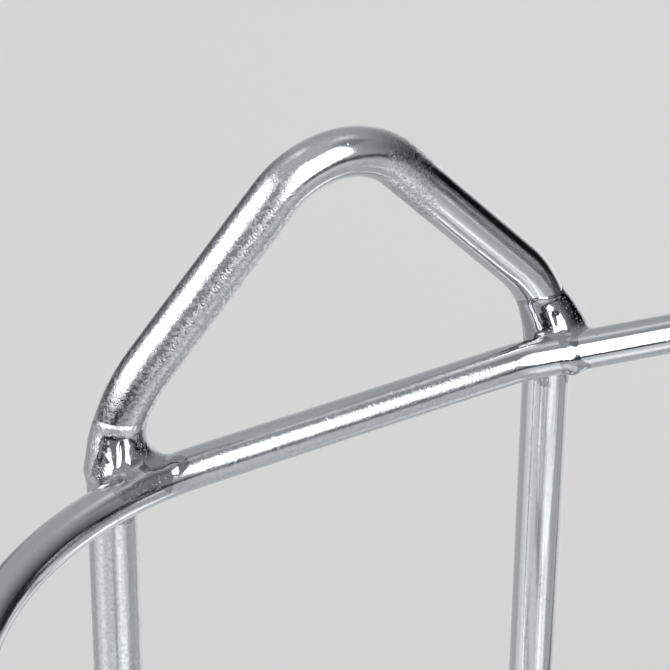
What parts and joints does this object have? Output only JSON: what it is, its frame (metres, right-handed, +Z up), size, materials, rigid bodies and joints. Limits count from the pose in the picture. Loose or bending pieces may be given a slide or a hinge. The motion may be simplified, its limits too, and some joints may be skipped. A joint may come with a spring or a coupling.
{
  "type": "basket rescue stretcher",
  "caption": "Welded round-bar basket stretcher with triangular lifting eyelets at its corners, strap restraints and a sliding foot rest.",
  "frame": {"origin": "middle of the box seen from above, on the surface that the runners rest on", "axes": "+X towards the foot end, +Y to the patient's left, +Z up"},
  "size_m": [2.1242, 0.6042, 0.2739],
  "materials": {
    "zinc_rail": "bright zinc plated 10 mm bar, grainy in places",
    "zinc_hoop": "bright zinc plated 12 mm bar, frosty blue-grey grain",
    "zinc_rod": "bright zinc plated thin bar",
    "zinc_strip": "bright zinc plated flat bar",
    "weld": "smooth plated weld metal",
    "webbing": "woven orange polyester webbing",
    "buckle_steel": "pressed steel, satin",
    "lever_steel": "pressed steel, brushed",
    "pin_steel": "turned steel",
    "spring_steel": "drawn spring wire",
    "plate": "zinc plated sheet",
    "clamp": "machined block, lightly blasted",
    "screw_steel": "zinc plated screw"
  },
  "bodies": {
    "frame": {"head_rail_bow": "zinc_rail", "foot_rail_bow": "zinc_rail", "side_rail_left": "zinc_rail", "side_rail_right": "zinc_rail", "head_lower_bow": "zinc_rod", "foot_lower_bow": "zinc_rod", "lower_rail_left": "zinc_rod", "lower_rail_right": "zinc_rod", "head_eyelet_hoop": "zinc_hoop", "foot_eyelet_hoop": "zinc_hoop", "rib_chest": "zinc_hoop", "rib_middle": "zinc_hoop", "rib_knee": "zinc_hoop", "bed_rod_1": "zinc_rod", "bed_rod_2": "zinc_rod", "bed_rod_3": "zinc_rod", "bed_rod_4": "zinc_rod", "bed_rod_5": "zinc_rod", "bed_edge_rod_left": "zinc_rod", "bed_edge_rod_right": "zinc_rod", "bed_cross_wires": "zinc_rod", "runner_left": "zinc_strip", "runner_right": "zinc_strip", "eyelet_welds_head_left": "weld", "eyelet_welds_head_right": "weld", "eyelet_welds_foot_left": "weld", "eyelet_welds_foot_right": "weld", "rib_welds": "weld", "bow_welds": "weld", "runner_welds": "weld", "strap_1_anchor_web": "webbing", "strap_1_tongue_web": "webbing", "buckle_1_base": "buckle_steel", "buckle_1_tongue": "buckle_steel", "strap_2_anchor_web": "webbing", "strap_2_tongue_web": "webbing", "buckle_2_base": "buckle_steel", "buckle_2_tongue": "buckle_steel", "strap_3_anchor_web": "webbing", "strap_3_tongue_web": "webbing", "buckle_3_base": "buckle_steel", "buckle_3_tongue": "buckle_steel", "strap_4_anchor_web": "webbing", "strap_4_tongue_web": "webbing", "buckle_4_base": "buckle_steel", "buckle_4_tongue": "buckle_steel", "buckle_lever_pins": "pin_steel", "buckle_lever_springs": "spring_steel"},
    "foot_rest": {"foot_plate": "plate", "foot_cross_tube": "zinc_rod", "rail_clamp_left": "clamp", "rail_clamp_right": "clamp", "plate_saddles": "zinc_strip", "plate_screws": "pin_steel"},
    "clamp_screw_left": {"clamp_screw_left": "screw_steel"},
    "clamp_screw_right": {"clamp_screw_right": "screw_steel"},
    "buckle_1_lever": {"buckle_1_lever": "lever_steel"},
    "buckle_2_lever": {"buckle_2_lever": "lever_steel"},
    "buckle_3_lever": {"buckle_3_lever": "lever_steel"},
    "buckle_4_lever": {"buckle_4_lever": "lever_steel"}
  },
  "joints": [
    {"name": "foot_rest_slide", "type": "slide", "parent": "frame", "child": "foot_rest", "axis": [1, 0, 0], "range_m": [-0.28, 0.08]},
    {"name": "clamp_screw_left_turn", "type": "hinge", "parent": "foot_rest", "child": "clamp_screw_left", "pos_m": [0.76, 0.286, 0.076], "axis": [0, 0, 1], "range_deg": [0, 360]},
    {"name": "clamp_screw_right_turn", "type": "hinge", "parent": "foot_rest", "child": "clamp_screw_right", "pos_m": [0.76, -0.286, 0.076], "axis": [0, 0, 1], "range_deg": [0, 360]},
    {"name": "buckle_1_lift", "type": "hinge", "parent": "frame", "child": "buckle_1_lever", "pos_m": [-0.64, -0.014, 0.194], "axis": [1, 0, 0], "range_deg": [0, 60], "stiffness_Nm_per_rad": 0.05, "springref_deg": -34.38},
    {"name": "buckle_2_lift", "type": "hinge", "parent": "frame", "child": "buckle_2_lever", "pos_m": [-0.22, -0.014, 0.194], "axis": [1, 0, 0], "range_deg": [0, 60], "stiffness_Nm_per_rad": 0.05, "springref_deg": -34.38},
    {"name": "buckle_3_lift", "type": "hinge", "parent": "frame", "child": "buckle_3_lever", "pos_m": [0.22, -0.014, 0.194], "axis": [1, 0, 0], "range_deg": [0, 60], "stiffness_Nm_per_rad": 0.05, "springref_deg": -34.38},
    {"name": "buckle_4_lift", "type": "hinge", "parent": "frame", "child": "buckle_4_lever", "pos_m": [0.64, -0.014, 0.194], "axis": [1, 0, 0], "range_deg": [0, 60], "stiffness_Nm_per_rad": 0.05, "springref_deg": -34.38}
  ]
}
